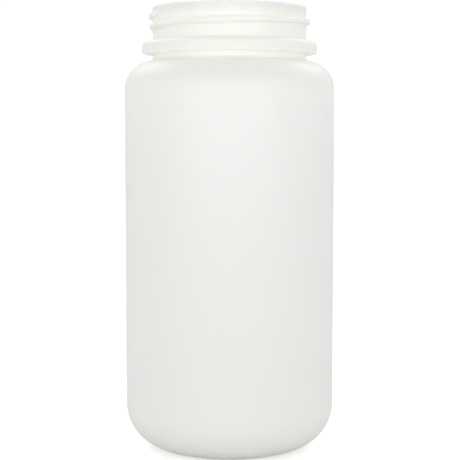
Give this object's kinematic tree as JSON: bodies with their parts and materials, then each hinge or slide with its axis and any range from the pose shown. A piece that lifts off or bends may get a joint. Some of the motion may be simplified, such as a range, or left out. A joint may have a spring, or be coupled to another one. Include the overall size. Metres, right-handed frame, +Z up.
{
  "type": "wide-mouth reagent bottle",
  "caption": "Open wide-mouth laboratory bottle in translucent plastic, with a round body, rounded shoulder and heel, a support bead and a screw-thread neck.",
  "frame": {"origin": "on the bottle's axis, at the plane that the foot ring stands on", "axes": "+Z up along the bottle's axis, towards the mouth; the mould's parting line lies in the XZ plane"},
  "size_m": [0.091, 0.091, 0.1917],
  "materials": {
    "natural_polyethylene": "unpigmented high-density polyethylene, milky and translucent, satin outside with a faint mould texture"
  },
  "bodies": {
    "root": {"bottle_body": "natural_polyethylene"}
  },
  "joints": []
}
